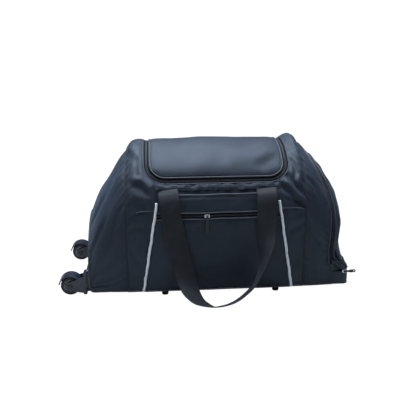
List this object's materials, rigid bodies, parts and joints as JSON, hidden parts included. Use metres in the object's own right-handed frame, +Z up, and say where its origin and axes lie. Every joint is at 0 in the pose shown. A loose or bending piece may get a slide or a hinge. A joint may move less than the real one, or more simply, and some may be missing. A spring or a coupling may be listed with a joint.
{
  "type": "rolling bowling bag",
  "caption": "Soft arched rolling bowling bag with zipped lid, end door and front pocket, webbing carry handles, wheels at one end and a telescoping pull handle at the other.",
  "frame": {"origin": "on the floor, below the middle of the bag's overall box", "axes": "+X from the wheels to the pull handle, -Y the pocket side, +Z up"},
  "size_m": [0.6984, 0.5272, 0.338],
  "materials": {
    "polyester": "woven polyester, matt with a slight sheen",
    "zip_tape": "woven tape with coil teeth",
    "white_piping": "smooth white cord",
    "webbing": "ribbed webbing",
    "lining": "plain lining",
    "foam_tray": "closed-cell foam",
    "hardboard": "hardboard",
    "black_base_sheet": "grained sheet",
    "grey_plastic": "moulded, satin",
    "black_plastic": "moulded, satin",
    "button_plastic": "moulded, satin",
    "hub_plastic": "moulded, satin",
    "aluminium_tube": "drawn, satin",
    "dark_metal": "zinc plated",
    "zip_metal": "dark nickel",
    "foot_rubber": "matt",
    "wheel_tyre": "matt"
  },
  "bodies": {
    "bag": {"base_sheet": "black_base_sheet", "base_board": "hardboard", "false_floor": "hardboard", "front_panel": "polyester", "back_panel": "polyester", "left_shoulder": "polyester", "right_shoulder": "polyester", "front_yoke": "polyester", "rear_yoke": "polyester", "lid_zip_tape_body": "zip_tape", "left_gusset": "polyester", "left_end_panel": "polyester", "right_gusset": "polyester", "end_zip_tape_body": "zip_tape", "front_cuff": "black_base_sheet", "rear_cuff": "black_base_sheet", "compartment_divider": "lining", "ball_cup_tray": "foam_tray", "pocket_panel": "polyester", "pocket_zip": "zip_tape", "pocket_top_panel": "polyester", "left_white_piping": "white_piping", "right_white_piping": "white_piping", "wheel_carrier": "grey_plastic", "carrier_rivets": "dark_metal", "front_wheel_fork": "grey_plastic", "rear_wheel_fork": "grey_plastic", "front_axle": "dark_metal", "rear_axle": "dark_metal", "foot_front_left": "foot_rubber", "foot_front_right": "foot_rubber", "foot_rear_left": "foot_rubber", "foot_rear_right": "foot_rubber", "foot_screws": "dark_metal", "outer_tubes": "aluminium_tube", "tube_end_block": "black_plastic", "tube_clamp": "black_plastic", "handle_bezel": "black_plastic"},
    "front_wheel": {"front_tyre": "wheel_tyre", "front_hub": "hub_plastic"},
    "rear_wheel": {"rear_tyre": "wheel_tyre", "rear_hub": "hub_plastic"},
    "lid": {"lid_panel": "polyester", "lid_zip_tape_lid": "zip_tape"},
    "lid_slider_left": {"lid_slider_left": "zip_metal"},
    "lid_slider_right": {"lid_slider_right": "zip_metal"},
    "lid_pull_left": {"lid_pull_left": "dark_metal"},
    "lid_pull_right": {"lid_pull_right": "dark_metal"},
    "end_door": {"end_door_panel": "polyester", "end_zip_tape_door": "zip_tape"},
    "door_slider": {"door_slider": "zip_metal"},
    "door_pull": {"door_pull": "dark_metal"},
    "pocket_slider": {"pocket_slider": "zip_metal"},
    "pocket_pull": {"pocket_pull": "dark_metal"},
    "front_carry_handle": {"front_carry_handle": "webbing"},
    "rear_carry_handle": {"rear_carry_handle": "webbing"},
    "middle_stage": {"middle_tubes": "aluminium_tube"},
    "inner_stage": {"inner_tubes": "aluminium_tube", "pull_grip": "black_plastic"},
    "release_button": {"release_button": "button_plastic"}
  },
  "joints": [
    {"name": "front_wheel_spin", "type": "hinge", "parent": "bag", "child": "front_wheel", "pos_m": [-0.323, -0.112, 0.0225], "axis": [0, 1, 0], "continuous": true},
    {"name": "rear_wheel_spin", "type": "hinge", "parent": "bag", "child": "rear_wheel", "pos_m": [-0.323, 0.112, 0.0225], "axis": [0, 1, 0], "continuous": true},
    {"name": "lid_hinge", "type": "hinge", "parent": "bag", "child": "lid", "pos_m": [0.019, 0.0905, 0.30684], "axis": [-1, 0, 0], "range_deg": [0, 110]},
    {"name": "lid_slider_left_travel", "type": "hinge", "parent": "bag", "child": "lid_slider_left", "pos_m": [0.019, 0, 0.191], "axis": [1, 0, 0], "range_deg": [0, 64]},
    {"name": "lid_slider_right_travel", "type": "hinge", "parent": "bag", "child": "lid_slider_right", "pos_m": [0.019, 0, 0.191], "axis": [1, 0, 0], "range_deg": [0, 64]},
    {"name": "lid_pull_left_flip", "type": "hinge", "parent": "lid_slider_left", "child": "lid_pull_left", "pos_m": [-0.1452, 0.07155, 0.32556], "axis": [1, 0, 0], "range_deg": [0, 150]},
    {"name": "lid_pull_right_flip", "type": "hinge", "parent": "lid_slider_right", "child": "lid_pull_right", "pos_m": [0.1832, 0.07155, 0.32556], "axis": [1, 0, 0], "range_deg": [0, 150]},
    {"name": "end_door_hinge", "type": "hinge", "parent": "bag", "child": "end_door", "pos_m": [0.3355, 0, 0.045], "axis": [0, 1, 0], "range_deg": [0, 75]},
    {"name": "door_slider_travel", "type": "hinge", "parent": "bag", "child": "door_slider", "pos_m": [0.319, -0.1422, 0.08], "axis": [-0.083, 0.9966, 0], "range_deg": [0, 90]},
    {"name": "door_pull_flip", "type": "hinge", "parent": "door_slider", "child": "door_pull", "pos_m": [0.31945, -0.14758, 0.046], "axis": [0, 0, -1], "range_deg": [0, 150]},
    {"name": "pocket_slider_travel", "type": "slide", "parent": "bag", "child": "pocket_slider", "axis": [1, 0, 0], "range_m": [-0.1, 0.155]},
    {"name": "pocket_pull_flip", "type": "hinge", "parent": "pocket_slider", "child": "pocket_pull", "pos_m": [-0.007, -0.1548, 0.193], "axis": [-1, 0, 0], "range_deg": [0, 150]},
    {"name": "front_carry_handle_lift", "type": "hinge", "parent": "bag", "child": "front_carry_handle", "pos_m": [0.019, -0.1395, 0.251], "axis": [-1, 0, 0], "range_deg": [0, 140]},
    {"name": "rear_carry_handle_lift", "type": "hinge", "parent": "bag", "child": "rear_carry_handle", "pos_m": [0.019, 0.1395, 0.251], "axis": [1, 0, 0], "range_deg": [0, 140]},
    {"name": "middle_stage_slide", "type": "slide", "parent": "bag", "child": "middle_stage", "axis": [1, 0, 0], "range_m": [0, 0.28]},
    {"name": "inner_stage_slide", "type": "slide", "parent": "middle_stage", "child": "inner_stage", "axis": [1, 0, 0], "range_m": [0, 0.28]},
    {"name": "release_button_press", "type": "slide", "parent": "inner_stage", "child": "release_button", "axis": [-1, 0, 0], "range_m": [0, 0.004], "stiffness_N_per_m": 600}
  ]
}
